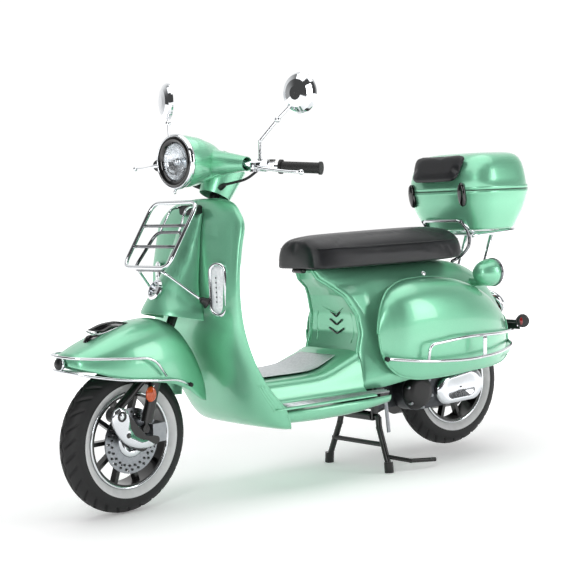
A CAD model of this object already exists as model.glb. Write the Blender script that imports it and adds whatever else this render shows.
import math

import bmesh
import bpy
import numpy as np
from mathutils import Matrix, Vector


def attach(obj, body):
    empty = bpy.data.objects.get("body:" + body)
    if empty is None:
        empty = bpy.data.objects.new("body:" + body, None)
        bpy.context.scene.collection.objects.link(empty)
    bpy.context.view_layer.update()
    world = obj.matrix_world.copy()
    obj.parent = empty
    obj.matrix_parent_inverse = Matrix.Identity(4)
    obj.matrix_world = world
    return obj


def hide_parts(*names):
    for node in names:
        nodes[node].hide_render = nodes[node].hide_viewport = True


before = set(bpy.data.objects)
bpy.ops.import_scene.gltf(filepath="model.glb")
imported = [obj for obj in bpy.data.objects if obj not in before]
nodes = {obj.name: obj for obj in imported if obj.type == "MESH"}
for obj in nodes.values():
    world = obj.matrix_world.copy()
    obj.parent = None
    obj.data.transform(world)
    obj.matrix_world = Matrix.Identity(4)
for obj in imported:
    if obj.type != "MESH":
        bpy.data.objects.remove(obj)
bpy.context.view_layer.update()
mm = 0.001
bothSides = ((1, "left"), (-1, "right"))

# everything on the bars is turned a little to the left
steering = {"foot": (747.0, 0.0, 0.0), "rake": 26.0, "turn": 7.0}
steerAxis = np.array([-math.sin(math.radians(steering["rake"])), 0, math.cos(math.radians(steering["rake"]))])


def steer(points, isDirection=False):
    # Rodrigues turn about the steering axis: p cos a + (k x p) sin a + k (k.p)(1 - cos a)
    a = math.radians(steering["turn"])
    p = np.asarray(points, float) - (0 if isDirection else np.array(steering["foot"]))
    out = p * math.cos(a) + np.cross(steerAxis, p) * math.sin(a)
    out = out + (p @ steerAxis)[..., None] * steerAxis * (1 - math.cos(a))
    return out + (0 if isDirection else np.array(steering["foot"]))


def linear(hexText):
    # sRGB hex to linear: ((c + 0.055) / 1.055) ^ 2.4
    c = np.array([int(hexText[i:i + 2], 16) / 255 for i in (1, 3, 5)])
    c = np.where(c <= 0.04045, c / 12.92, ((c + 0.055) / 1.055) ** 2.4)
    return (*[float(v) for v in c], 1.0)


def powered(wave, e):
    # sign(w) |w|^e squares off the sine or cosine of a circle
    return np.sign(wave) * np.abs(wave) ** e


def addNode(tree, kind, links=None, **settings):
    n = tree.nodes.new(kind)
    for key, value in settings.items():
        if hasattr(n, key):
            setattr(n, key, value)
        else:
            n.inputs[key.replace("_", " ")].default_value = value
    for key, source in (links or {}).items():
        tree.links.new(source, n.inputs[key])
    return n


def makeMaterial(name, colour, metallic=0.0, roughness=0.5, coat=0.0, coatRoughness=0.05, ior=1.5,
                 transmission=0.0, alpha=1.0, sheen=0.0, spotColour=None, spotSize=6.0, spotAmount=0.2,
                 grainSize=0.6, grainDepth=0.0, grainKind="noise", roughnessSpread=0.05, emission=0.0):
    # sizes in millimetres; the spot colour gives slow patches, the grain gives relief
    m = bpy.data.materials.new(name)
    m.use_nodes = True
    t = m.node_tree
    t.nodes.clear()
    shader = addNode(t, "ShaderNodeBsdfPrincipled")
    put = {"Metallic": metallic, "Coat Weight": coat, "Coat Roughness": coatRoughness,
           "Transmission Weight": transmission, "Alpha": alpha, "Sheen Weight": sheen}
    if metallic < 0.99:
        put["IOR"] = ior
    for key, value in put.items():
        shader.inputs[key].default_value = value
    if emission:
        shader.inputs["Emission Color"].default_value = linear(colour)
        shader.inputs["Emission Strength"].default_value = emission
    place = addNode(t, "ShaderNodeTexCoord")
    patch = addNode(t, "ShaderNodeTexNoise", {"Vector": place.outputs["Object"]}, Scale=1000 / spotSize, Detail=3.0)
    tint = addNode(t, "ShaderNodeMix", data_type="RGBA")
    tint.inputs["A"].default_value = linear(colour)
    tint.inputs["B"].default_value = linear(spotColour or colour)
    share = addNode(t, "ShaderNodeMapRange", {"Value": patch.outputs["Fac"]}, From_Min=0.35, From_Max=0.7,
                    To_Max=spotAmount if spotColour else 0.0)
    t.links.new(share.outputs["Result"], tint.inputs["Factor"])
    t.links.new(tint.outputs["Result"], shader.inputs["Base Color"])
    rough = addNode(t, "ShaderNodeMapRange", {"Value": patch.outputs["Fac"]},
                    To_Min=max(0.0, roughness - roughnessSpread), To_Max=roughness + roughnessSpread)
    t.links.new(rough.outputs["Result"], shader.inputs["Roughness"])
    if grainDepth:
        if grainKind == "leather":
            grain = addNode(t, "ShaderNodeTexVoronoi", {"Vector": place.outputs["Object"]}, Scale=1000 / grainSize)
            height = grain.outputs["Distance"]
        else:
            grain = addNode(t, "ShaderNodeTexNoise", {"Vector": place.outputs["Object"]}, Scale=1000 / grainSize,
                            Detail=4.0)
            height = grain.outputs["Fac"]
        bump = addNode(t, "ShaderNodeBump", {"Height": height}, Strength=0.6, Distance=grainDepth * mm)
        t.links.new(bump.outputs["Normal"], shader.inputs["Normal"])
    addNode(t, "ShaderNodeOutputMaterial", {"Surface": shader.outputs["BSDF"]})
    return m


# mint enamel with a fine metal flake under a clear coat: bright soft highlights, deeper green in shade
mintPaint = makeMaterial("mint_metallic_enamel", "#79C39E", metallic=0.6, roughness=0.36, coat=0.7,
                         spotColour="#A5E0C5", spotSize=1.2, spotAmount=0.3)
# mirror plating: sharp reflections of a pale room and a dark one
chromePlate = makeMaterial("polished_chrome_plate", "#DDE0E3", metallic=1.0, roughness=0.07, roughnessSpread=0.03,
                           spotSize=40)
# the same plating smoked, for the rack bars: dimmer reflections
darkChrome = makeMaterial("smoked_chrome_plate", "#77797C", metallic=1.0, roughness=0.1, roughnessSpread=0.03,
                          spotSize=40)
# stoved black enamel: deep black with a soft highlight
blackEnamel = makeMaterial("satin_black_enamel", "#060606", roughness=0.3, coat=0.3, grainSize=3, grainDepth=0.05)
# moulded ABS: dull black with a faint mould grain
blackPlastic = makeMaterial("moulded_black_plastic", "#0A0A0B", roughness=0.42, grainSize=0.8, grainDepth=0.06)
# polished black plastic: black with a sharp highlight
glossBlack = makeMaterial("gloss_black_plastic", "#08090A", roughness=0.12, coat=0.5)
# cured tread rubber: greyish black, almost without highlight
tyreRubber = makeMaterial("tread_rubber", "#0B0B0C", roughness=0.6, ior=1.52, spotColour="#17171A", spotSize=30,
                          spotAmount=0.5, grainSize=1.5, grainDepth=0.12)
# white sidewall rubber: chalky and slightly uneven
whiteBand = makeMaterial("whitewall_rubber", "#D2D3D3", roughness=0.5, spotColour="#BFC0C1", spotSize=20,
                         spotAmount=0.5, grainSize=1.5, grainDepth=0.05)
# soft grip rubber: dull black with a raised grain
gripRubber = makeMaterial("moulded_grip_rubber", "#08090A", roughness=0.55, grainSize=1.2, grainDepth=0.2)
# sand cast aluminium: grey, grainy, with broad highlights
castAlloy = makeMaterial("cast_aluminium", "#9A9DA1", metallic=1.0, roughness=0.38, spotColour="#8C8F93",
                         spotSize=14,
                         spotAmount=0.6, grainSize=1.6, grainDepth=0.12)
# cast and darkened engine alloy: dark grey with a metal sheen
darkCasting = makeMaterial("dark_cast_engine_alloy", "#3C3E41", metallic=0.8, roughness=0.42,
                           spotColour="#57595D", spotSize=18, spotAmount=0.5, grainSize=1.6, grainDepth=0.15)
# buffed aluminium: bright, a little softer than plating
polishedAlloy = makeMaterial("polished_aluminium", "#D3D6DA", metallic=1.0, roughness=0.14, spotSize=25)
# ground steel: mid grey with blurred reflections
discSteel = makeMaterial("ground_disc_steel", "#9C9FA4", metallic=1.0, roughness=0.3, spotColour="#7D8085",
                         spotSize=6,
                         spotAmount=0.5)
# leather grain vinyl: near black with a broken soft highlight
seatVinyl = makeMaterial("grained_seat_vinyl", "#08090D", roughness=0.4, sheen=0.03, spotColour="#10121A",
                         spotSize=25,
                         spotAmount=0.5, grainSize=2.2, grainDepth=0.35, grainKind="leather")
# brushed bright metal: pale with broad highlights
matMetal = makeMaterial("brushed_mat_metal", "#C9CDCF", metallic=0.9, roughness=0.32, spotColour="#A9AEB1",
                        spotSize=9,
                        spotAmount=0.5)
# moulded clear polycarbonate: what lies behind shows through
clearLens = makeMaterial("clear_lens", "#F2F6F8", roughness=0.03, ior=1.49, transmission=0.9, alpha=0.55)
# milky acrylic: pale with a glossy skin
whiteLens = makeMaterial("ribbed_white_lens", "#E4E8EA", roughness=0.15, coat=0.6, spotColour="#B9BEC2", spotSize=7,
                         spotAmount=0.6)
# silvered bowl with flutes: bright, broken reflections
mirrorBowl = makeMaterial("silvered_reflector", "#E8EBEE", metallic=1.0, roughness=0.09, spotColour="#9DA3A9",
                          spotSize=11,
                          spotAmount=0.8, grainSize=9, grainDepth=0.8)
# amber acrylic: deep orange, darker in patches
amberLens = makeMaterial("amber_lens", "#C9531A", roughness=0.16, coat=0.6, spotColour="#8A2F0C", spotSize=5,
                         spotAmount=0.6,
                         grainSize=3, grainDepth=0.3)
# red acrylic: deep red, darker in patches
redLens = makeMaterial("red_lens", "#9C1014", roughness=0.15, coat=0.6, spotColour="#5E070A", spotSize=5,
                       spotAmount=0.6,
                       grainSize=3, grainDepth=0.3)
print("materials made")


def catmull(rows, steps):
    # Catmull-Rom through the rows: (2b + (c-a)t + (2a-5b+4c-d)t^2 + (3b-a-3c+d)t^3) / 2
    p = np.asarray(rows, float)
    m = len(p) - 1
    i = np.repeat(np.arange(m), steps)
    t = np.tile(np.arange(steps) / steps, m)[:, None]
    a, b, c, d = p[np.maximum(i - 1, 0)], p[i], p[i + 1], p[np.minimum(i + 2, m)]
    out = (2 * b + (c - a) * t + (2 * a - 5 * b + 4 * c - d) * t ** 2 + (3 * b - a - 3 * c + d) * t ** 3) / 2
    return np.vstack([out, p[-1:]])


def archGrid(stations, steps=6, columns=72, upright=False):
    # Superellipse arch per station [along, half width, foot, crown, pinch, power, bow, lift]:
    # y = w cos^e (1 - pinch u), height = mix(foot, crown, u), u = sin^e, e = 2 / power
    q = catmull(stations, steps)[:, None, :]
    a = (np.pi * np.arange(columns + 1) / columns)[None, :]
    e = 2 / q[..., 5]
    c = powered(np.cos(a), e)
    u = np.abs(np.sin(a)) ** e
    along = q[..., 0] - q[..., 6] * np.sin(np.pi * u) + q[..., 7] * u
    g = np.stack([along, q[..., 1] * c * (1 - q[..., 4] * u), q[..., 2] + (q[..., 3] - q[..., 2]) * u], -1)
    return g[..., ::-1] if upright else g


def blisterGrid(stations, steps=6, columns=56):
    # Side blister per station [along, half height, foot, crown, lean, power, middle height]
    q = catmull(stations, steps)[:, None, :]
    a = (np.pi * np.arange(columns + 1) / columns)[None, :]
    e = 2 / q[..., 5]
    c = powered(np.cos(a), e)
    u = np.abs(np.sin(a)) ** e
    y = (q[..., 2] - q[..., 4] * c) * (1 - u) + q[..., 3] * u
    return np.stack([q[..., 0] + 0 * u, y, q[..., 6] + q[..., 1] * c], -1)


def meshPiece(name, points, faces, material, body, smooth=True):
    mesh = bpy.data.meshes.new(name)
    mesh.from_pydata((np.asarray(points, float) * mm).tolist(), [],
                     faces if isinstance(faces, list) else faces.tolist())
    mesh.validate()
    mesh.polygons.foreach_set("use_smooth", [smooth] * len(mesh.polygons))
    mesh.materials.append(material)
    mesh.update()
    o = bpy.data.objects.new(name, mesh)
    bpy.context.scene.collection.objects.link(o)
    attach(o, body)
    return o


def gridFaces(rows, columns, wrapRows=False, wrapColumns=False, turned=False):
    # four neighbours of each cell, counted row by row
    i = np.arange(rows if wrapRows else rows - 1)[:, None]
    j = np.arange(columns if wrapColumns else columns - 1)[None, :]
    a = i * columns + j
    b = ((i + 1) % rows) * columns + j
    jn = (j + 1) % columns
    f = np.stack([a, b, ((i + 1) % rows) * columns + jn, i * columns + jn], -1).reshape(-1, 4)
    return f[:, ::-1] if turned else f


def cappedFaces(rows, columns):
    # rings joined round, with one face on each end
    ends = [list(range(columns)), list(range((rows - 1) * columns, rows * columns))]
    return gridFaces(rows, columns, wrapColumns=True).tolist() + ends


def plateRings(outline, middle, steps):
    # a flat outline (x, z) at each reach y, drawn towards its middle: m + k (p - m)
    return np.stack([np.stack([middle[0] + (outline[:, 0] - middle[0]) * k, np.full(len(outline), float(y)),
                               middle[1] + (outline[:, 1] - middle[1]) * k], -1) for y, k in steps])


def sheetPiece(name, grid, wall, material, body):
    # thin wall: the grid is one skin, the wall grows from it to the side that the sign says
    rows, columns = grid.shape[:2]
    o = meshPiece(name, grid.reshape(-1, 3), gridFaces(rows, columns, turned=wall < 0), material, body)
    s = o.modifiers.new("wall", "SOLIDIFY")
    s.thickness = abs(wall) * mm
    s.offset = 1.0
    s.use_even_offset = False
    return o


def rounded(points, radius, steps=8, closed=False):
    # each inner corner becomes a parabola between the two points that lie radius away from it
    p = [np.array(v, float) for v in points]
    n = len(p)
    out = [] if closed else [p[0]]
    for i in (range(n) if closed else range(1, n - 1)):
        a, b, c = p[i - 1], p[i], p[(i + 1) % n]
        d = min(radius, 0.49 * np.linalg.norm(a - b), 0.49 * np.linalg.norm(c - b))
        u, v = (a - b) / np.linalg.norm(a - b), (c - b) / np.linalg.norm(c - b)
        t = np.linspace(0, 1, steps + 1)[:, None]
        out += list((1 - t) ** 2 * (b + u * d) + 2 * t * (1 - t) * b + t ** 2 * (b + v * d))
    return np.array(out if closed else out + [p[-1]])


def tubePiece(name, path, radius, material, body, sides=16, closed=False, tapered=None):
    # a circle carried along the path: p + r (cos a v + sin a w), v kept square to the path without twisting
    p = np.asarray(path, float)
    keep = np.linalg.norm(p - np.roll(p, 1, 0), axis=1) > 0.05
    keep[0] = keep[0] or not closed
    p = p[keep]
    n = len(p)
    nxt = np.roll(p, -1, 0) - p
    prv = p - np.roll(p, 1, 0)
    if not closed:
        nxt[-1] = prv[-1]
        prv[0] = nxt[0]
    t = nxt / np.linalg.norm(nxt, axis=1)[:, None] + prv / np.linalg.norm(prv, axis=1)[:, None]
    t /= np.linalg.norm(t, axis=1)[:, None]
    v = np.zeros_like(p)
    s = np.array([0, 0, 1.0]) if abs(t[0][2]) < 0.9 else np.array([1.0, 0, 0])
    if closed:
        v[:] = np.cross(p[1] - p[0], p[n // 3] - p[0])
        v /= np.linalg.norm(v[0])
    else:
        for i in range(n):
            s = s - (s @ t[i]) * t[i]
            s /= np.linalg.norm(s)
            v[i] = s
    w = np.cross(t, v)
    r = (np.full(n, radius) if tapered is None else np.interp(np.linspace(0, 1, n), *zip(*tapered)))[:, None, None]
    a = 2 * np.pi * np.arange(sides) / sides
    g = p[:, None, :] + r * (np.cos(a)[None, :, None] * v[:, None, :] + np.sin(a)[None, :, None] * w[:, None, :])
    faces = gridFaces(n, sides, wrapRows=closed, wrapColumns=True, turned=True).tolist()
    if not closed:
        faces += [list(range(sides)), list(range((n - 1) * sides, n * sides))[::-1]]
    return fixNormals(meshPiece(name, g.reshape(-1, 3), faces, material, body))


def fixNormals(o):
    # closed shapes only: every face is turned to point outwards
    b = bmesh.new()
    b.from_mesh(o.data)
    bmesh.ops.remove_doubles(b, verts=b.verts, dist=1e-6)
    bmesh.ops.recalc_face_normals(b, faces=b.faces)
    b.to_mesh(o.data)
    b.free()
    return o


def basis(direction):
    # two directions square to the line, and the line's own
    d = np.asarray(direction, float)
    d = d / np.linalg.norm(d)
    u = np.cross([0, 0, 1.0] if abs(d[2]) < 0.9 else [1.0, 0, 0], d)
    u /= np.linalg.norm(u)
    return u, np.cross(d, u), d


def turnedPiece(name, profile, centre, direction, material, body, sides=64, stretch=(1, 1), ripple=None):
    # a profile of (radius, height) turned about a line: c + r (cos a u + sin a v) + h d
    u, v, d = basis(direction)
    q = np.asarray(profile, float)
    a = 2 * np.pi * np.arange(sides) / sides
    r = q[:, 0][:, None] * (1 if ripple is None else ripple(a)[None, :])
    g = np.asarray(centre, float) + (stretch[0] * r * np.cos(a))[..., None] * u \
        + (stretch[1] * r * np.sin(a))[..., None] * v + q[:, 1][:, None, None] * d
    return fixNormals(meshPiece(name, g.reshape(-1, 3), gridFaces(len(q), sides, wrapColumns=True), material, body))


def ringSolid(name, profile, *rest, **more):
    # a closed profile turned about a line
    return turnedPiece(name, list(profile) + [profile[0]], *rest, **more)


def smoothCopy(name, node, material, body, angle=38):
    # the node's own surface, merged and shaded smooth below the angle
    o = bpy.data.objects.new(name, nodes[node].data.copy())
    bpy.context.scene.collection.objects.link(o)
    o.data.materials.clear()
    o.data.materials.append(material)
    b = bmesh.new()
    b.from_mesh(o.data)
    bmesh.ops.remove_doubles(b, verts=b.verts, dist=2e-5)
    limit = math.radians(angle)
    for edge in b.edges:
        edge.smooth = len(edge.link_faces) == 2 and edge.calc_face_angle(0) < limit
    for face in b.faces:
        face.smooth = True
    b.to_mesh(o.data)
    b.free()
    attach(o, body)
    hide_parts(node)
    return o


def flip(points):
    # the same points on the other side
    return np.asarray(points, float) * np.array([1, -1, 1])


panels = {
    "wall": 3,
    "shield": [
        [890, 57, 336, 352, 0, 2.2, 0, 0], [877, 141, 348, 364, 0, 2.2, 0, 0], [851, 187, 358, 376, 0, 2.2, 0, 0],
        [811, 217, 366, 392, 0, 2.2, 0, 0], [750, 219, 380, 405, 0, 2.2, 0, 0], [674, 222, 394, 415, 0, 2.2, 0, 0],
        [597, 222, 396, 422, 0, 2.2, 0, 0], [520, 222, 388, 424, 0, 2.2, 0, 0], [450, 222, 368, 408, 0, 2.2, 0, 0],
        [390, 222, 342, 384, 0, 2.2, 0, 0], [330, 222, 305, 364, 0, 2.4, 0, 0], [275, 222, 256, 340, 0, 2.6, 0, 0],
        [240, 219, 236, 316, 0, 2.6, 0, 0], [216, 211, 226, 286, 0, 2.6, 0, 0], [204, 196, 214, 244, 0, 2.6, 0, 0]],
    "cover": [
        [868, 38, 378, 388, 0, 2.2, 0, 0], [800, 52, 402, 424, 0, 2.2, 0, 0], [720, 62, 418, 466, 0, 2.2, 0, 0],
        [650, 70, 430, 512, 0, 2.2, 0, 4], [600, 84, 436, 544, 0, 2.2, 0, 12], [560, 102, 440, 562, 0, 2.2, 0, 22],
        [540, 107, 443, 568, 0, 2.2, 0, 28]],
    "inner": [
        [862, 120, 330, 288, 0, 2.4, 0, 0], [800, 176, 346, 302, 0, 2.4, 0, 0], [700, 184, 368, 332, 0, 2.4, 0, 0],
        [600, 184, 374, 352, 0, 2.4, 0, 0], [500, 184, 362, 346, 0, 2.4, 0, 0], [420, 180, 328, 304, 0, 2.4, 0, 0],
        [356, 176, 290, 264, 0, 2.4, 0, 0]],
    "belly": [
        [262, 210, 256, 216, 0, 4, 0, 0], [160, 219, 257, 210, 0, 4, 0, 0], [60, 222, 258, 208, 0, 4, 0, 0],
        [-60, 222, 258, 213, 0, 4, 0, 0], [-180, 206, 258, 228, 0, 4, 0, 0]],
    "tail": [
        [-180, 178, 280, 657, 0.4, 3.1, 12, 0], [-240, 186, 289, 658, 0.35, 3.2, 0, 0],
        [-350, 185, 298, 658, 0.32, 3, 0, 0],
        [-500, 185, 300, 656, 0.35, 3, 0, 0], [-620, 179, 304, 646, 0.38, 2.8, 0, 0],
        [-720, 160, 316, 612, 0.38, 2.6, 0, 0],
        [-800, 123, 328, 546, 0.35, 2.4, 0, 0], [-846, 80, 336, 458, 0.3, 2.2, 0, 0],
        [-866, 34, 342, 382, 0.2, 2, 0, 0]],
    "ridgeHeight": [280, 357, 395, 450, 510, 570, 600, 628, 654],
    "ridgeY": [128, 125, 125, 123, 111, 88, 62, 46, 38],
    "ridgeX": [-100, -108, -119, -136, -134, -106, -76, -36, -22],
    "cowl": [
        [-164, 8, 177, 180, 3, 2.2, 440], [-167, 34, 176.5, 183, 4, 2.2, 440], [-174, 60, 176, 188, 6, 2.3, 440],
        [-188, 90, 174.5, 198, 10, 2.4, 441], [-208, 115, 173, 211, 16, 2.4, 443],
        [-240, 138, 171.5, 226, 24, 2.4, 446],
        [-310, 156, 166, 234, 36, 2.4, 449], [-420, 159, 160, 236, 40, 2.4, 450],
        [-540, 150, 152, 228, 42, 2.4, 446],
        [-650, 130, 138, 202, 38, 2.3, 428], [-740, 103, 112, 160, 30, 2.2, 406],
        [-800, 76, 84, 114, 22, 2.2, 390]],
    "floorRows": [[282, 0], [200, 0], [100, 0], [40, 4], [0, 14], [-45, 30], [-90, 46], [-106, 54]],
    "floorHalf": [[0, 345], [70, 346], [118, 345], [146, 339], [160, 321], [168, 293], [182, 276], [224, 270],
                  [229, 264]],
}


def ridgeRing(columns, spread):
    # the ridge round the panel: height from the arch, width and reach read from the height
    a = 180.0 * np.arange(columns + 1) / columns
    u = np.abs(np.sin(np.radians(a))) ** 0.66
    z = 280 + (654 - 280) * u
    x = np.interp(z, panels["ridgeHeight"], panels["ridgeX"]) - spread * (0.2 + np.sin(np.pi * u))
    y = np.interp(z, panels["ridgeHeight"], panels["ridgeY"]) + spread * (1 + 2 * np.maximum(0, 395 - z) / 115)
    side = np.where(np.abs(a - 90) < 1e-6, 0, np.sign(np.cos(np.radians(a))))
    return np.stack([x, y * side, z], -1)


def softened(grid, rounds=2):
    # neighbour average along the rows, ends kept
    g = grid.copy()
    for _ in range(rounds):
        g[1:-1] = 0.25 * g[:-2] + 0.5 * g[1:-1] + 0.25 * g[2:]
    return g


wall = panels["wall"]
shieldGrid = archGrid(panels["shield"], 7, 96, upright=True)
shield = sheetPiece("leg_shield_panel", shieldGrid, -wall, mintPaint, "chassis")
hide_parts("leg_shield")
lipPath = np.vstack([shieldGrid[::-1, 0][:-1:2], shieldGrid[0, ::3], shieldGrid[::2, -1]])
tubePiece("leg_shield_rolled_lip", lipPath - np.array([1.5, 0, 0]), 4.2, mintPaint, "chassis", sides=12)
# three ribs low on each flank
low = [i for i in range(len(shieldGrid)) if 262 < shieldGrid[i, 0, 2] < 350]
for j in (3, 6, 9):
    for s, w in bothSides:
        rib = shieldGrid[low, j if s > 0 else 96 - j] + np.array([1.0, 0.8 * s, 0])
        tubePiece("shield_rib_%s_%d" % (w, j), rib, 2.8, mintPaint, "chassis", sides=8)
inner = sheetPiece("inner_leg_shield_panel", archGrid(panels["inner"], 7, 64, upright=True), -wall, mintPaint,
                   "chassis")
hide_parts("inner_shield")
cover = sheetPiece("horn_cover_panel", archGrid(panels["cover"], 7, 64, upright=True), -wall, mintPaint, "chassis")
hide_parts("horn_cover")
belly = sheetPiece("belly_panel", archGrid(panels["belly"], 6, 64), -wall, mintPaint, "chassis")
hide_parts("belly_cover")
tailRest = archGrid(panels["tail"], 7, 96)
firstRings = [ridgeRing(96, 0), ridgeRing(96, 14)]
t = np.linspace(0, 1, 9)[1:-1][:, None, None]
between = firstRings[1][None] * (1 - t) + tailRest[0][None] * t
halfway = 0.5 * (firstRings[0] + firstRings[1])
tailGrid = np.vstack([firstRings[0][None], halfway[None], firstRings[1][None], between, tailRest])
tailGrid[2:] = softened(tailGrid[2:], 6)
tail = sheetPiece("tail_body_panel", tailGrid, wall, mintPaint, "chassis")
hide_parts("tail_body")
for side, node in ((1, "left_cowl"), (-1, "right_cowl")):
    g = blisterGrid(panels["cowl"], 7, 72) * np.array([1, side, 1])
    cowl = sheetPiece(node + "_panel", g, wall * side, mintPaint, "chassis")
    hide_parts(node)
    rim = np.vstack([g[::2, 0], g[-1, ::3], g[::-1, -1][::2], g[0, ::-1][::3]])
    tubePiece(node + "_rolled_edge", rim + np.array([0, 2.0 * side, 0]), 3.4, mintPaint, "chassis", sides=10,
              closed=True)
rows = catmull(panels["floorRows"], 5)
half = catmull(panels["floorHalf"], 5)
profile = np.vstack([half[::-1] * np.array([-1, 1]), half[1:]])
lift = rows[:, 1][:, None] * np.maximum(0, (profile[:, 1] - 291) / 54)[None, :]
floorGrid = np.stack([np.repeat(rows[:, :1], len(profile), 1), np.repeat(profile[None, :, 0], len(rows), 0),
                      profile[None, :, 1] + lift], -1)
floorPanel = sheetPiece("floor_panel", floorGrid, wall, mintPaint, "chassis")
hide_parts("floor_board")
# the panel under the seat, hollowed across its width
ring = ridgeRing(160, 0)[7:76]
k = np.linspace(-1, 1, 41)
panelGrid = np.stack([ring[:, 0][:, None] - 1 - 12 * np.cos(np.pi / 2 * k)[None, :],
                      (ring[:, 1] - 2)[:, None] * k[None, :], np.repeat(ring[:, 2][:, None] - 1, 41, 1)], -1)
panel = sheetPiece("under_seat_panel", panelGrid, -wall, mintPaint, "chassis")
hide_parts("seat_front_panel")
ridgePath = ridgeRing(96, 0)[4:-4]
tubePiece("panel_ridge_bead", ridgePath + np.array([1.0, 0, 0]), 6.5, mintPaint, "chassis", sides=12)
# raised outline with a notch at the top, inside the ridge
z, y = np.array([(418, 84), (452, 92), (492, 90), (520, 78), (534, 60), (522, 34), (508, 0)], float).T
outline = np.stack([np.interp(z, panels["ridgeHeight"], panels["ridgeX"]) - 9.5 + 8 * (y / 110) ** 2, y, z], -1)
outline = rounded(np.vstack([outline, flip(outline[-2::-1])]), 14)
tubePiece("panel_outline", outline, 2.6, mintPaint, "chassis", sides=8)
# three dark chevron vents
for i, z in enumerate((506, 480, 452)):
    w = 24 + 6 * i
    x = float(np.interp(z, panels["ridgeHeight"], panels["ridgeX"])) - 8.5
    chevron = rounded([[x + 1, w, z + 9], [x - 1, 0, z - 8], [x + 1, -w, z + 9]], 5)
    tubePiece("panel_vent_%d" % i, chevron, 3.4, glossBlack, "chassis", sides=8)
print("body panels made")

mat = {"halfWidth": 108, "ribs": 17, "depth": 1.4, "height": 350.6, "front": 262, "back": -60}
strips = {"count": 3, "outward": 192, "apart": 12, "height": 275.0, "drop": 1.6}
xs = np.linspace(mat["front"], mat["back"], 90)
ys = np.linspace(-mat["halfWidth"], mat["halfWidth"], mat["ribs"] * 12 + 1)
matLift = np.interp(xs, rows[::-1, 0], rows[::-1, 1])[:, None]
taper = 1 - 0.18 * np.clip((60 - xs) / 120, 0, 1)[:, None]
ribbing = np.abs(np.sin(np.pi * ys / (2 * mat["halfWidth"]) * mat["ribs"]))[None, :]
z = mat["height"] + matLift + mat["depth"] * ribbing ** 0.6
matGrid = np.stack([np.repeat(xs[:, None], len(ys), 1), ys[None, :] * taper, z], -1)
floorMat = sheetPiece("ribbed_floor_mat", matGrid, -2, matMetal, "chassis")
for s, w in bothSides:
    for i in range(strips["count"]):
        y = strips["outward"] + i * strips["apart"]
        z = strips["height"] - i * strips["drop"]
        p = rounded([[236, s * y, z + 1], [200, s * y, z], [-172, s * (y - 8), z - 2]], 20)
        tubePiece("side_strip_%s_%d" % (w, i), p, 3.4, matMetal, "chassis", sides=12)
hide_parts("floor_trims")

fender = {
    "stations": [
        [873, 18, 452, 470, 0, 2.2, 0, 0], [864, 50, 447, 480, 0, 2.4, 0, 0], [845, 68, 440, 488, 0, 2.5, 0, 0],
        [810, 85, 428, 502, 0, 2.6, 0, 0], [760, 97, 412, 520, 0, 2.6, 0, 0], [700, 104, 398, 539, 0, 2.6, 0, 0],
        [620, 104, 385, 553, 0, 2.6, 0, 0], [560, 102, 372, 552, 0, 2.6, 0, 0], [505, 96, 348, 528, 0, 2.6, 0, 0],
        [455, 87, 315, 470, 0, 2.5, 0, 0], [424, 74, 303, 415, 0, 2.4, 0, 0], [404, 54, 304, 362, 0, 2.2, 0, 0]]}
fenderGrid = steer(archGrid(fender["stations"], 8, 80))
fenderPanel = sheetPiece("front_fender_panel", fenderGrid, wall, mintPaint, "steering")
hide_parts("front_fender")
railRoutes = [
    [[884, 8, 436], [876, 52, 434], [836, 90, 424], [760, 112, 409], [660, 121, 397], [560, 116, 388],
     [508, 108, 366]],
    [[892, 8, 478], [882, 52, 477], [840, 86, 474], [760, 108, 468], [668, 118, 462], [640, 122, 448],
     [604, 118, 404]]]
for i, r in enumerate(railRoutes):
    full = np.vstack([rounded(r, 40)[::-1], flip(rounded(r, 40))])
    rail = tubePiece("fender_rail_%d" % i, steer(full), 4.2, chromePlate, "steering")
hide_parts("fender_rails")
turnedPiece("fender_buffer", [(0, 0), (15, 0), (17, 3), (17, 14), (13, 19), (0, 20)], steer([878, 0, 456]),
            steer([1, 0, 0.09], True), blackPlastic, "steering", sides=32)
turnedPiece("fender_buffer_ring", [(16.8, 4), (18.6, 5), (18.6, 11), (16.8, 12)], steer([878, 0, 456]),
            steer([1, 0, 0.09], True), chromePlate, "steering", sides=32)
for s, w in bothSides:
    end = steer(np.array([[508, 108 * s, 366], [500, 106 * s, 363]]))
    tubePiece("fender_rail_cap_" + w, np.linspace(end[0], end[1], 4), 6.5, blackPlastic, "steering")
# swept crest on the fender: two black wedges on a chrome keel, outlines as (share of length, height)
crest = {"from": 806, "to": 648, "lean": [404, 455, 505, 560, 620, 700, 760, 810, 845],
         "top": [362, 470, 528, 552, 553, 539, 520, 502, 488]}


def crestPoint(share, height):
    # a share of the crest's length, at a height above the fender's crown
    x = crest["from"] + (crest["to"] - crest["from"]) * np.asarray(share)
    return x, np.interp(x, crest["lean"], crest["top"]) + height


def wedge(name, outline, halfWidth, material):
    # the side outline at six reaches across, narrowed towards the top and drawn in at both faces
    q = catmull(outline + outline[:1], 4)[:-1]
    x, z = crestPoint(q[:, 0], q[:, 1])
    rings = []
    for y, k in ((-1, 0.7), (-0.8, 0.95), (-0.3, 1.0), (0.3, 1.0), (0.8, 0.95), (1, 0.7)):
        narrow = 1 - 0.55 * np.clip(q[:, 1] / 34, 0, 1)
        rings.append(np.stack([x.mean() + (x - x.mean()) * k, y * halfWidth * narrow,
                               z.mean() + (z - z.mean()) * k], -1))
    points = steer(np.array(rings)).reshape(-1, 3)
    return fixNormals(meshPiece(name, points, cappedFaces(6, len(q)), material, "steering"))


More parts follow.
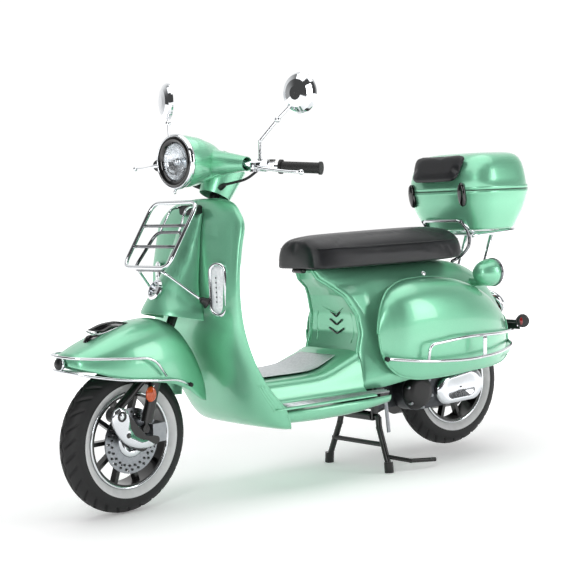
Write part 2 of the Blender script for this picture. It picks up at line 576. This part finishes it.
wing = [[0.1, 33], [0.4, 31], [0.75, 17], [1.0, 1], [0.7, 1], [0.42, 6], [0.3, 14]]
fin = wedge("fender_crest_wing", wing, 15, glossBlack)
wedge("fender_crest_foot", [[0.0, -2], [0.1, 17], [0.24, 9], [0.36, 2], [0.2, -2]], 10, glossBlack)
for s, w in bothSides:
    x, z = crestPoint(np.array([0.1, 0.25, 0.4, 0.7, 1.0]), np.array([30, 12, 5, 1.5, 1.0]))
    keel = np.stack([x, s * np.array([7, 11, 14.5, 14, 10]), z], -1)
    tubePiece("fender_crest_trim_" + w, steer(catmull(keel, 5)), 2.2, chromePlate, "steering", sides=10)
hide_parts("fender_crest")
print("fender made")

for side, w in bothSides:
    lower = [[-160, 216, 372], [-300, 252, 352], [-480, 254, 340], [-640, 232, 344], [-770, 170, 356],
             [-812, 104, 366]]
    upper = [[-306, 252, 356], [-308, 258, 404], [-470, 262, 416], [-640, 240, 410], [-780, 166, 404],
             [-818, 100, 398]]
    a = tubePiece("rear_rail_lower_" + w, rounded(lower, 60) * [1, side, 1], 5.2, chromePlate, "chassis")
    tubePiece("rear_rail_upper_" + w, rounded(upper, 26) * [1, side, 1], 5.2, chromePlate, "chassis")
    q = np.array([[-546, 258, 346], [-546, 262, 411]])
    s = np.linspace(0, 1, 8)[:, None, None]
    v = np.linspace(-1, 1, 9)[None, :, None]
    plate = q[0] * (1 - s) + q[1] * s + v * np.array([9, 1.5, 0])
    sheetPiece("rear_rail_plate_" + w, (plate * [1, side, 1]), 3, polishedAlloy, "chassis")
    turnedPiece("rear_rail_end_" + w, [(0, 0), (7, 0), (8, 2), (8, 12), (6, 15), (0, 15)], [-164, 210 * side, 372],
                [0.1, side, -0.1], blackPlastic, "chassis", sides=24)
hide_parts("rear_rails")

rackTop, rackFoot = np.array([450, 0, 886.0]), np.array([566, 0, 702.0])
side = np.array([0, 119.0, 0])
loop = rounded([rackTop + side, rackFoot + side, rackFoot - side, rackTop - side], 36, closed=True)
shelf = tubePiece("rack_shelf_loop", loop, 6.2, chromePlate, "shelf", closed=True)
for i, u in enumerate((0.36, 0.68)):
    p = rackTop * (1 - u) + rackFoot * u
    tubePiece("rack_shelf_bar_%d" % i, np.linspace(p - side * 0.975, p + side * 0.975, 6), 5, darkChrome, "shelf")
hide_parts("rack_shelf")
stayTop, stayFoot = np.array([474, 0, 800.0]), np.array([553, 0, 694.0])
u, d = np.array([0, 72.0, 0]), np.array([0, 84.0, 0])
stay = tubePiece("rack_stay_loop", rounded([stayTop + u, stayFoot + d, stayFoot - d, stayTop - u], 30,
                                           closed=True), 5,
                 darkChrome, "chassis", closed=True)
for s, w in bothSides:
    m = np.array([1, s, 1])
    tubePiece("rack_arm_" + w, np.linspace([554, 60, 696], [453, 119, 601], 6) * m, 4.6, chromePlate, "chassis")
    hook = rounded(np.array([[474, 50, 801], [440, 40, 868], [404, 38, 873]]) * m, 16)
    tubePiece("rack_hook_" + w, hook, 4, chromePlate, "chassis")
    turnedPiece("rack_foot_" + w, [(0, 0), (9, 0), (10, 3), (12, 14), (17, 20), (17, 24), (12, 26), (0, 26)],
                np.array([456, 117, 604]) * m, np.array([-22, 10, -15]) * m, blackPlastic, "chassis", sides=32)
s = np.linspace(0, 2 * np.pi, 41)[:-1]
block = np.stack([0 * s, 46 * powered(np.cos(s), 0.4), 15 * powered(np.sin(s), 0.4)], -1)
clampSteps = ((386, 0.01), (386, 1), (406, 1), (409, 0.94), (409, 0.01))
rings = np.stack([np.array([x, 0, 862]) + block * k for x, k in clampSteps])
fixNormals(meshPiece("rack_clamp", rings.reshape(-1, 3), gridFaces(5, 40, wrapColumns=True), blackPlastic,
                     "chassis",
                     smooth=False))
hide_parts("rack_frame")

luggage = [[-662, 102, 730], [-674, 105, 731], [-868, 112, 741], [-868, -112, 741], [-674, -105, 731],
           [-662, -102, 730]]
rack = tubePiece("luggage_rack_frame", rounded(luggage, 36), 7, chromePlate, "chassis")
tubePiece("luggage_rack_hoop", rounded([[-684, 103, 732], [-620, 92, 782], [-620, -92, 782], [-684, -103, 732]],
                                       26), 5.4,
          chromePlate, "chassis")
for i, x in enumerate((-690, -800)):
    tubePiece("luggage_rack_bar_%d" % i, np.linspace([x, -108, 734], [x, 108, 734], 5), 5, chromePlate, "chassis")
route = np.array([[-622, 92, 782], [-657, 96, 738], [-654, 98, 696], [-612, 102, 664], [-560, 108, 650]])
for s, w in bothSides:
    tubePiece("luggage_rack_strut_" + w, np.linspace([-800, 60 * s, 734], [-740, 60 * s, 590], 5), 6,
              chromePlate, "chassis")
    tubePiece("luggage_rack_stay_" + w, rounded(route * [1, s, 1], 26), 5.6, darkChrome, "chassis")
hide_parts("luggage_rack")
print("rails and racks made")


def levelRings(rows, centre=-752.0, power=3.6, sides=96):
    # superellipse rings: x = c + a cos^e, y = b sin^e at each height
    a = 2 * np.pi * np.arange(sides) / sides
    e = 2 / power
    c = powered(np.cos(a), e)
    s = powered(np.sin(a), e)
    q = np.asarray(rows, float)[:, None, :]
    return np.stack([centre + q[..., 3] + q[..., 1] * c, q[..., 2] * s, q[..., 0] + 0 * c], -1)


def ringStack(name, rows, material, body):
    # the rings joined and closed at both ends
    g = levelRings(rows)
    return fixNormals(meshPiece(name, g.reshape(-1, 3), cappedFaces(len(g), g.shape[1]), material, body))


boxBase = [[748, 101, 140, 0], [750, 107, 147, 0], [756, 110, 150, 0], [782, 122, 162, 0], [810, 134, 175, 0],
           [840, 143, 185, 0],
           [868, 150, 192.5, 0], [870, 151, 194, 0], [880, 151, 194.5, 0], [880, 147, 190.5, 0], [866, 145, 188, 0],
           [810, 130, 171, 0], [762, 107, 147, 0]]
base = ringStack("top_box_tub", boxBase, mintPaint, "chassis")
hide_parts("top_box_base")
lidRows = [[881, 147, 190.5, 0], [881, 150.5, 194.5, 0], [891, 151, 195, 0], [893.5, 150, 194, 0],
           [895.5, 147, 191.5, 0],
           [920, 144, 188, -1], [946, 139, 183, -3], [968, 132, 176, -6], [985, 122, 166, -9], [996, 110, 153, -12],
           [1003, 94, 134, -16], [1006.5, 70, 105, -20], [1007, 30, 50, -22], [1007, 1, 2, -22]]
lid = ringStack("top_box_shell", lidRows, mintPaint, "lid")
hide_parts("top_box_lid")
tubePiece("top_box_seam", levelRings([[880.6, 150.4, 194, 0]])[0], 1.2, blackPlastic, "chassis", sides=8,
          closed=True)
for (s, w), y in zip(bothSides, (118, -124)):
    turnedPiece("top_box_hinge_cover_" + w, [(0, 8), (10, 7), (14, 5), (15.5, 0), (15, -12), (0, -12)],
                [-606, y, 868], [1, 0.12 * s, -0.1], glossBlack, "chassis", sides=48, stretch=(1.0, 2.6))
print("top box made")

lampHeight = 1006.0
smoothCopy("headset_shell_smooth", "headset_shell", mintPaint, "steering", 50)
lampDir = steer([1, 0, 0], True)
ringAt = steer([449, 0, lampHeight])
bezel = ringSolid("headlamp_bezel", [(74, 0), (80, 0), (81.5, 5), (81, 11), (78, 16), (75.5, 17), (74, 14)], ringAt,
                  lampDir, chromePlate, "steering")
ringSolid("headlamp_inner_ring", [(54, 2), (75, 2), (75.5, 15), (70, 19), (62, 18), (54, 9)], ringAt, lampDir,
          glossBlack, "steering")
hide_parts("headlamp_ring")
turnedPiece("headlamp_reflector", [(54, 8), (48, 3), (34, -4), (20, -8), (9, -9), (0, -9)], ringAt, lampDir,
            mirrorBowl, "steering", ripple=lambda a: 1 + 0.012 * np.cos(18 * a))  # 18 flutes
turnedPiece("headlamp_bulb_cap", [(0, 9), (7, 8), (10, 2), (9, -6), (0, -7)], ringAt, lampDir, chromePlate,
            "steering", sides=32)
lens = turnedPiece("headlamp_glass", [(54.5, 9), (50, 13), (38, 17), (20, 20), (0, 21)], ringAt, lampDir, clearLens,
                   "steering")
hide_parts("headlamp_lens")
tab = steer(np.array([[458, 0, 926], [464, 0, 917], [461, 0, 914]]))
tubePiece("headlamp_screw_tab", tab, 4, chromePlate, "steering", sides=12)


def stadium(width, halfLength, count=48):
    # two half circles joined by straight sides
    a = np.linspace(0, 2 * np.pi, count, endpoint=False)
    return np.stack([width * np.cos(a), width * np.sin(a) + halfLength * np.sign(np.sin(a))], -1)


frontLamp = {"at": [410, 156, 630], "width": 24, "halfLength": 50, "sweep": 0.42, "lights": 6, "lightStep": 14,
             "dome": ((6, 1.0), (12, 0.85), (14.5, 0.6), (15.5, 0.3), (16, 0.02))}
for s, w in bothSides:
    outline = stadium(frontLamp["width"], frontLamp["halfLength"])
    c = frontLamp["at"] * np.array([1.0, s, 1])
    path = np.stack([np.full(len(outline), 10.0), outline[:, 0], outline[:, 1]], -1) * [1, s, 1] + c
    g = np.stack([np.stack([np.full(len(outline), float(reach)), outline[:, 0] * k * 0.9,
                            outline[:, 1] * (k * 0.35 + 0.6)], -1)
                  for reach, k in frontLamp["dome"]]) * [1, s, 1] + c
    for part in (path, g):
        part[..., 0] -= frontLamp["sweep"] * (np.abs(part[..., 1]) - frontLamp["at"][1])
    rimRing = tubePiece("front_indicator_rim_" + w, path, 6, chromePlate, "chassis", closed=True, sides=12)
    fixNormals(meshPiece("front_indicator_lens_" + w, g.reshape(-1, 3),
                         gridFaces(5, len(outline), wrapColumns=True),
                         whiteLens, "chassis"))
    for i in range(frontLamp["lights"]):
        z = c[2] + (i - 2.5) * frontLamp["lightStep"]
        turnedPiece("front_indicator_led_%s_%d" % (w, i), [(0, 2), (2.6, 1.4), (3, 0), (0, -1)],
                    [c[0] + 16.5, c[1], z], [1, 0, 0], darkChrome, "chassis", sides=12)
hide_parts("front_indicators")

podProfile = [(0, -62), (9, -61), (19, -57), (28, -50), (35, -40), (40, -28), (44, -14), (46, 0), (46, 13),
              (42, 14),
              (42, 4), (0, 4)]
for s, w in bothSides:
    at = [-676, 164 * s, 606]
    pod = turnedPiece("rear_indicator_pod_" + w, podProfile, at, [-1, 0, 0], mintPaint, "chassis")
    ringSolid("rear_indicator_ring_" + w, [(41, 12), (47.6, 12), (48, 16), (47, 21), (42, 22)], at, [-1, 0, 0],
              darkChrome, "chassis")
    turnedPiece("rear_indicator_lens_" + w, [(41, 14), (40, 20), (34, 25), (20, 28), (0, 29)], at, [-1, 0, 0],
                amberLens, "chassis")
    arm = np.linspace([-672, 146 * s, 576], [-664, 70 * s, 572], 5)
    tubePiece("rear_indicator_arm_" + w, arm, 14, mintPaint, "chassis")
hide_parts("rear_indicators")
tailLamp = {"at": [-842, 0, 482], "tilt": math.radians(52)}
lampAxis = [-math.sin(tailLamp["tilt"]), 0, math.cos(tailLamp["tilt"])]
tailRing = ringSolid("tail_lamp_ring", [(41, 0), (48, 0), (48.4, 14), (46, 24), (42, 26)], tailLamp["at"], lampAxis,
                     chromePlate, "chassis")
turnedPiece("tail_lamp_lens", [(41, 8), (40, 20), (36, 27), (26, 32), (0, 35)], tailLamp["at"], lampAxis, redLens,
            "chassis")
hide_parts("tail_lamp")
# round reflectors at the back corners
for s, w in bothSides:
    at, outward = [-882, 113 * s, 424], [0.12, s, 0.0]
    ringSolid("rear_reflector_rim_" + w, [(18, -7), (23, -7), (23.5, 0), (22, 6), (19, 6)], at, outward,
              blackPlastic,
              "chassis", sides=40)
    turnedPiece("rear_reflector_" + w, [(20, -6), (20, 5), (12, 8), (0, 9)], at, outward, redLens, "chassis",
                sides=40)
tubePiece("rear_reflector_bar", np.linspace([-888, -100, 420], [-888, 100, 420], 6), 6, blackEnamel, "chassis")
tubePiece("plate_arm", np.linspace([-860, 0, 404], [-892, 0, 418], 4), 12, blackEnamel, "chassis")
print("lamps made")


def tyrePiece(name, centre, axis, body, node):
    # r = R - s + s cos p, h = s sin p; grooves cut where a slanted wave nears its crest
    tyreSize = {"outer": 215.0, "section": 43.0}
    u, v, d = basis(axis)
    turns, rounds = 360, 108
    a = (2 * np.pi * np.arange(turns) / turns)[:, None]
    p = np.radians(np.linspace(-148, 148, rounds))[None, :]
    crown = np.abs(np.degrees(p))
    slant = np.abs(np.sin(15 * a + 0.045 * np.degrees(p) * np.sign(p)))
    groove = np.clip((0.34 - slant) / 0.2, 0, 1) * (crown > 12) * (crown < 62)
    zig = np.clip(1 - np.abs(np.degrees(p) - 7 * np.sin(30 * a)) / 3.6, 0, 1)
    depth = 5.0 * np.maximum(groove * np.clip((62 - crown) / 8, 0, 1), zig)
    sidestep = 0.9 * np.clip((crown - 96) / 2, 0, 1) * np.clip((136 - crown) / 2, 0, 1)
    r0 = tyreSize["section"] - depth + sidestep - 1.0
    r = tyreSize["outer"] - tyreSize["section"] + r0 * np.cos(p)
    h = r0 * np.sin(p) + 0 * a
    g = np.asarray(centre, float) + (r * np.cos(a))[..., None] * u + (r * np.sin(a))[..., None] * v + h[...,
        None] * d
    o = meshPiece(name, g.reshape(-1, 3), gridFaces(turns, rounds, wrapRows=True), tyreRubber, body)
    o.data.materials.append(whiteBand)
    rowAngle = (crown[0, :-1] + crown[0, 1:]) / 2
    pale = np.tile(((rowAngle > 97) & (rowAngle < 135)).astype(int), turns)
    o.data.polygons.foreach_set("material_index", pale)
    s = o.modifiers.new("carcass", "SOLIDIFY")
    s.thickness = 5 * mm
    s.offset = -1.0
    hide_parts(node)
    return o


frontAxle, rearAxle = steer([672, 0, 215]), np.array([-618.0, 0, 238])
frontDir = steer([0, 1, 0], True)
tyrePiece("front_tyre_treaded", frontAxle, frontDir, "front_wheel", "front_tyre")
tyrePiece("rear_tyre_treaded", rearAxle, [0, 1, 0], "rear_wheel", "rear_tyre")
for name, centre, axis in (("front", frontAxle, frontDir), ("rear", rearAxle, [0, 1, 0])):
    for s, w in bothSides:
        ringSolid("%s_rim_lip_%s" % (name, w),
                  [(134, 28 * s), (141, 30 * s), (142, 34 * s), (139, 36 * s), (134, 34 * s)], centre, axis,
                  chromePlate,
                  name + "_wheel", sides=128)
discAt = frontAxle + 40.0 * np.asarray(frontDir)
ringSolid("disc_carrier", [(20, -2), (46, -2), (48, 1), (44, 3.5), (20, 5)], discAt, frontDir, polishedAlloy,
          "front_wheel", sides=96)
discU, discV, discD = basis(frontDir)
drilling = {"count": 48, "radii": (84, 72), "spot": 3.6}
for k in range(drilling["count"]):
    q = 2 * math.pi * k / drilling["count"]
    at = discAt + drilling["radii"][k % 2] * (math.cos(q) * discU + math.sin(q) * discV) + 2.3 * discD
    turnedPiece("disc_drilling_%d" % k, [(0, 0.3), (drilling["spot"], 0.3), (drilling["spot"] + 0.2, -0.2),
                                         (0, -0.2)],
                at, frontDir, glossBlack, "front_wheel", sides=12)
print("wheels made")

for s, node, body in ((1, "left_lever", "left_brake"), (-1, "right_lever", "right_brake")):
    m = np.array([1, s, 1])
    blade = rounded(np.array([[341, 214, 990], [341, 226, 990], [340, 255, 986], [322, 320, 979],
                              [311, 374, 977]]) * m, 30)
    lever = tubePiece(node + "_blade", steer(blade), 5, chromePlate, body,
                      tapered=[(0, 6), (0.3, 5.4), (0.85, 4.0), (1, 4.0)])
    turnedPiece(node + "_tip", [(8 * math.cos(q), 8 * math.sin(q)) for q in np.linspace(-math.pi / 2,
                                                                                        math.pi / 2, 13)],
                steer(np.array([311, 374, 977]) * m), steer([0, 0, 1], True), chromePlate, body, sides=24)
    turnedPiece(node + "_hub", [(0, -6), (9.5, -6), (10, -5), (10, 5), (9.5, 6), (0, 6)],
                steer(np.array([340, 208, 990]) * m),
                steer([0, 0, 1], True), chromePlate, body, sides=32)
    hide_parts(node)
perchFrom = np.array([348, 140, 1001]) * 0.55 + np.array([284, 232, 991]) * 0.45
for s, w in bothSides:
    m = np.array([1, s, 1])
    path = rounded(np.array([perchFrom + [-4, 22, -14], [330, 168, 954], [338, 120, 944], [334, 70, 936],
                             [322, 46, 928]]) * m, 30)
    cable = tubePiece("brake_cable_" + w, steer(path), 4, gripRubber, "steering", sides=14)
    boot = np.linspace(np.array([334, 76, 937]) * m, np.array([322, 44, 927]) * m, 6)
    tubePiece("brake_cable_boot_" + w, steer(boot), 7, gripRubber, "steering", tapered=[(0, 5), (0.3, 8), (1, 9)])
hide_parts("brake_cables")
# crescent cover over the leading link, with its pivot ring and bolt
crescent = {"outline": [[756, 330], [776, 318], [779, 286], [762, 250], [734, 222], [700, 206], [664, 200],
                        [632, 206],
                        [668, 218], [698, 236], [718, 262], [724, 292], [732, 320]], "from": 88.0, "to": 98.0}
ring = catmull(crescent["outline"] + crescent["outline"][:1], 6)[:-1]
near, far = crescent["from"], crescent["to"]
g = plateRings(ring, ring.mean(0), ((near, 0.96), (near + 1, 1.0), (far - 3, 1.0), (far, 0.93), (far + 0.6, 0.7)))
fixNormals(meshPiece("link_crescent", steer(g).reshape(-1, 3), cappedFaces(len(g), len(ring)), polishedAlloy,
                     "link"))
ringSolid("link_pivot_ring", [(9, 0), (15, 0), (15, 3), (9, 3)], steer([750, 97, 303]), frontDir, blackEnamel,
          "link",
          sides=40)
turnedPiece("link_pivot_bolt", [(0, 3), (6, 3), (7, 2), (7, 0), (0, 0)], steer([750, 98, 303]), frontDir,
            chromePlate,
            "link", sides=24)
turnedPiece("link_plug", [(0, 1.6), (7, 1.6), (8, 0), (0, 0)], steer([728, 98.5, 246]), frontDir, glossBlack,
            "link",
            sides=32)

# CAD nodes shown as they are
finish = {
    "main_frame": blackEnamel, "fork_stem": blackEnamel, "centre_stand": blackEnamel, "plate_bracket": blackEnamel,
    "muffler": blackEnamel, "front_rim": blackEnamel, "rear_rim": blackEnamel, "front_shock": blackEnamel,
    "rear_shock": blackEnamel, "front_link": blackEnamel, "battery": blackPlastic, "horn_button": glossBlack,
    "indicator_switch": blackPlastic, "starter_button": redLens, "left_grip": gripRubber,
    "throttle_grip": gripRubber, "engine_case": darkCasting,
    "front_disc": discSteel, "stand_spring": discSteel, "fuel_tank": discSteel, "front_caliper": castAlloy,
    "horn_grille": chromePlate, "speedometer": chromePlate, "handlebar": chromePlate, "lever_perches": chromePlate,
    "left_mirror": chromePlate, "right_mirror": chromePlate}
for node, material in finish.items():
    mesh = nodes[node].data
    mesh.materials.clear()
    mesh.materials.append(material)

# transmission cover: a polished case behind a round black cover
transmission = {"front": (-508, 228, 48), "rear": (-618, 238, 54), "clutch": (-380, 238), "reach": 108.4,
                "bosses": 6,
                "bossCircle": 53, "steps": ((108.4, 1.0), (118, 0.99), (124, 0.93), (126.5, 0.8), (126.5, 0.6),
                                            (124.5, 0.55), (124.5, 0.05))}
turn = np.linspace(0, 2 * np.pi, 97)[:-1]
ahead = (np.cos(turn) > 0)[:, None]
x, z, r = np.where(ahead, transmission["front"], transmission["rear"]).T
outline = np.stack([x + r * np.cos(turn), z + r * np.sin(turn)], -1)
g = plateRings(outline, (-563.0, 233.0), transmission["steps"])
case = fixNormals(meshPiece("transmission_cover", g.reshape(-1, 3), gridFaces(7, 96, wrapColumns=True),
                            polishedAlloy,
                            "engine"))
clutchX, clutchZ = transmission["clutch"]
turnedPiece("clutch_cover", [(0, 26), (30, 26), (46, 23), (52, 17), (58, 6), (60, 0), (0, 0)],
            [clutchX, transmission["reach"], clutchZ], [0, 1, 0], blackPlastic, "engine", sides=72)
for i in range(transmission["bosses"]):
    q = math.radians(60 * i + 20)
    at = [clutchX + transmission["bossCircle"] * math.cos(q), transmission["reach"],
          clutchZ + transmission["bossCircle"] * math.sin(q)]
    turnedPiece("clutch_cover_boss_%d" % i, [(0, 22), (4.5, 22), (5.5, 20), (5.5, 0), (0, 0)], at, [0, 1, 0],
                castAlloy,
                "engine", sides=16)
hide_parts("cvt_cover")
print("mechanical pieces made")


stuffingFrames = 20


def clothPad(name, grid, body, material, pressure, cap, voxel, replaced):
    # closed rings remeshed, blown up a little as cloth and eased back to within the cap
    o = fixNormals(meshPiece(name, grid.reshape(-1, 3), cappedFaces(*grid.shape[:2]), material, body))
    bpy.context.view_layer.objects.active = o
    r = o.modifiers.new("even", "REMESH")
    r.mode = "VOXEL"
    r.voxel_size = voxel * mm
    dg = bpy.context.evaluated_depsgraph_get()
    o.data = bpy.data.meshes.new_from_object(o.evaluated_get(dg))
    o.modifiers.clear()
    before = np.empty(len(o.data.vertices) * 3)
    o.data.vertices.foreach_get("co", before)
    before = before.reshape(-1, 3)
    low = before[:, 2].min()
    pin = o.vertex_groups.new(name="held")
    pin.add([int(i) for i in np.nonzero(before[:, 2] < low + 6 * mm)[0]], 1.0, "REPLACE")
    c = o.modifiers.new("stuffing", "CLOTH")
    c.settings.quality = 5
    c.settings.mass = 0.3
    c.settings.vertex_group_mass = "held"
    c.settings.use_pressure = True
    c.settings.uniform_pressure_force = pressure
    c.settings.effector_weights.gravity = 0
    c.settings.tension_stiffness = 20
    c.settings.bending_stiffness = 2
    c.point_cache.frame_start = 1
    c.point_cache.frame_end = stuffingFrames
    for f in range(1, stuffingFrames + 1):
        bpy.context.scene.frame_set(f)
    dg = bpy.context.evaluated_depsgraph_get()
    after = np.empty(len(before) * 3)
    o.evaluated_get(dg).data.vertices.foreach_get("co", after)
    move = after.reshape(-1, 3) - before
    size = np.linalg.norm(move, axis=1)[:, None]
    move *= np.minimum(1, cap * mm / np.maximum(size, 1e-9))
    o.modifiers.clear()
    o.data.vertices.foreach_set("co", (before + move).reshape(-1))
    o.data.materials.clear()
    o.data.materials.append(material)
    sm = o.modifiers.new("even", "SMOOTH")
    sm.iterations = 3
    bpy.context.scene.frame_set(1)
    o.data.polygons.foreach_set("use_smooth", [True] * len(o.data.polygons))
    d = o.modifiers.new("finer", "SUBSURF")
    d.levels = d.render_levels = 1
    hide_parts(replaced)
    return o


seat = {"foot": 666, "stations": [
    [16, 66, -2, 62], [13, 84, -5, 76], [4, 96, -7, 84], [-24, 112, -8, 91], [-110, 126, -8, 95],
    [-320, 136, -8, 98],
    [-480, 143, -7, 99], [-558, 137, -4, 96], [-594, 119, 2, 84], [-612, 92, 8, 68], [-618, 60, 18, 48]]}
q = catmull(seat["stations"], 6)[:, None, :]
# arch section with a flat underside whose lower corners are rounded off
a = np.radians(np.linspace(0, 180, 73))[None, :]
e = 2 / 3.2
cy = powered(np.cos(a), e)
cz = np.abs(np.sin(a)) ** e
upper = np.stack([q[..., 0] + 0 * cy, q[..., 1] * cy * (1 - 0.07 * cz),
                  seat["foot"] + 5 + q[..., 2] + (q[..., 3] - q[..., 2] - 5) * cz], -1)
k = np.linspace(-1, 1, 25)[None, :]
under = np.stack([q[..., 0] + 0 * k, q[..., 1] * 0.97 * k, seat["foot"] + 1.5 + q[..., 2] + 0 * k], -1)
seatGrid = np.concatenate([upper, under], 1)
clothPad("bench_seat_cushion", seatGrid, "seat_body", seatVinyl, 2.2, 3, 5, "seat")
# sewn welt round the side, and the seat's hinge
for s, w in bothSides:
    x = np.linspace(-4, -585, 60)
    halfWidth = np.interp(-x, -np.array(seat["stations"])[:, 0], np.array(seat["stations"])[:, 1])
    p = np.stack([x, s * (halfWidth * 0.905 + 1.6), np.full(60, seat["foot"] + 57.0)], -1)
    tubePiece("seat_welt_" + w, p, 1.7, seatVinyl, "seat_body", sides=8)
tubePiece("seat_hinge_barrel", np.linspace([0, -28, 654], [0, 28, 654], 5), 6.8, blackEnamel, "seat_body")

padSize = {"centre": [-620.6, 0, 953], "tilt": -27, "count": 80,
           "steps": ((1, 34, 100), (2, 46, 113), (6, 50, 118), (10, 50.5, 119), (15, 47, 115), (18, 40, 105),
                     (19, 24, 84))}
a = 2 * np.pi * np.arange(padSize["count"]) / padSize["count"]
e = 2 / 6
rings = []
for depth, tall, wide in padSize["steps"]:
    up = tall * powered(np.cos(a), e)
    across = wide * powered(np.sin(a), e) * (1 + 0.07 * up / 50) * 0.96
    rings.append(np.stack([np.full(padSize["count"], float(depth)), across, up], -1))
g = np.array(rings)
tilt = math.radians(padSize["tilt"])
x = g[..., 0] * math.cos(tilt) + g[..., 2] * math.sin(tilt)
z = -g[..., 0] * math.sin(tilt) + g[..., 2] * math.cos(tilt)
padGrid = np.stack([x, g[..., 1], z], -1) + np.array(padSize["centre"])
clothPad("backrest_cushion", padGrid, "lid", seatVinyl, 3.0, 3, 5, "backrest_pad")
print("seat and pad made")

# seat lock on the left cowl, amber reflector and its arm on the fork
turnedPiece("seat_lock", [(0, 2), (7, 2), (8, 1), (8, -3), (0, -3)], [-392, 150, 622], [0.02, 0.93, 0.36],
            chromePlate,
            "chassis", sides=32)
turnedPiece("fork_reflector", [(0, 4), (14, 3.4), (17, 0), (16, -3), (0, -3)], steer([640, 92, 352]),
            steer([0.25, 0.97, 0], True),
            amberLens, "steering", sides=40, stretch=(1.0, 1.35))
arm = steer(np.array([[612, 78, 398], [628, 86, 372], [640, 89, 352]]))
tubePiece("fork_reflector_arm", arm, 4, chromePlate, "steering", sides=12)
print("details made")

stageSize = {"half": 12.0, "drop": -0.0004}  # metres
h, z = stageSize["half"], stageSize["drop"]
stageFloor = bpy.data.meshes.new("studio_floor")
stageFloor.from_pydata([(-h, -h, z), (h, -h, z), (h, h, z), (-h, h, z)], [], [(0, 1, 2, 3)])
floorMaterial = makeMaterial("pale_studio_floor", "#FFFFFF", roughness=0.9, emission=0.3)
# the far floor fades up to white: strength grows with distance from the machine
tree = floorMaterial.node_tree
spot = addNode(tree, "ShaderNodeTexCoord")
away = addNode(tree, "ShaderNodeVectorMath", {0: spot.outputs["Object"]}, operation="LENGTH")
fade = addNode(tree, "ShaderNodeMapRange", {"Value": away.outputs["Value"]}, interpolation_type="SMOOTHSTEP",
               From_Min=0.9, From_Max=3.0, To_Min=0.2, To_Max=1.2)
shader = next(n for n in tree.nodes if n.type == "BSDF_PRINCIPLED")
tree.links.new(fade.outputs["Result"], shader.inputs["Emission Strength"])
stageFloor.materials.append(floorMaterial)
floorObject = bpy.data.objects.new("studio_floor", stageFloor)
bpy.context.scene.collection.objects.link(floorObject)

world = bpy.data.worlds.new("studio") if bpy.context.scene.world is None else bpy.context.scene.world
bpy.context.scene.world = world
world.use_nodes = True
tree = world.node_tree
tree.nodes.clear()
# white ahead of the camera and overhead, greyer behind it, so that plating has something dark to mirror
where = addNode(tree, "ShaderNodeTexCoord")
split = addNode(tree, "ShaderNodeVectorMath", {0: where.outputs["Generated"]}, operation="DOT_PRODUCT")
split.inputs[1].default_value = (-0.61, -0.79, 0.0)
ramp = addNode(tree, "ShaderNodeMapRange", {"Value": split.outputs["Value"]}, interpolation_type="SMOOTHSTEP",
               From_Min=-0.1, From_Max=0.85, To_Min=0.1, To_Max=1.3)
background = addNode(tree, "ShaderNodeBackground", {"Strength": ramp.outputs["Result"]})
addNode(tree, "ShaderNodeOutputWorld", {"Surface": background.outputs["Background"]})
bpy.context.scene.view_settings.view_transform = "Standard"


def softBox(name, at, towards, size, power):
    # a rectangular lamp turned towards a point, in metres and watts
    light = bpy.data.lights.new(name, "AREA")
    light.shape = "RECTANGLE"
    light.size, light.size_y = size
    light.energy = power
    o = bpy.data.objects.new(name, light)
    o.location = at
    o.rotation_euler = (Vector(towards) - Vector(at)).to_track_quat("-Z", "Y").to_euler()
    bpy.context.scene.collection.objects.link(o)


softBox("overhead_box", (0.0, 0.3, 3.2), (0, 0, 0.4), (4.5, 3.0), 72)
softBox("front_left_box", (3.2, 2.4, 1.9), (0, 0, 0.5), (0.9, 2.2), 44)
softBox("rear_left_box", (-2.4, 3.2, 1.6), (-0.3, 0, 0.5), (0.9, 2.2), 34)

camera = {"place": (2.898, 3.703, 0.903), "azimuth": 142.23, "elevation": 3.84, "roll": -2.57,
          "lens": 36 * 1500 / 585}  # a 36 mm sensor, 1500 units of focal length to 585 of width
a, e, r = (math.radians(camera[k]) for k in ("azimuth", "elevation", "roll"))
back = np.array([math.sin(a) * math.cos(e), -math.cos(a) * math.cos(e), math.sin(e)])
right = np.cross(-back, [0, 0, 1])
right /= np.linalg.norm(right)
up = np.cross(right, -back)
side = right * math.cos(r) + up * math.sin(r)
top = -right * math.sin(r) + up * math.cos(r)
lensData = bpy.data.cameras.new("studio_camera")
lensData.sensor_width = 36
lensData.lens = camera["lens"]
lensData.clip_end = 60
cam = bpy.data.objects.new("studio_camera", lensData)
cam.matrix_world = Matrix([[side[i], top[i], back[i], camera["place"][i]] for i in range(3)] + [[0, 0, 0, 1]])
bpy.context.scene.collection.objects.link(cam)
bpy.context.scene.camera = cam

print("stage made")
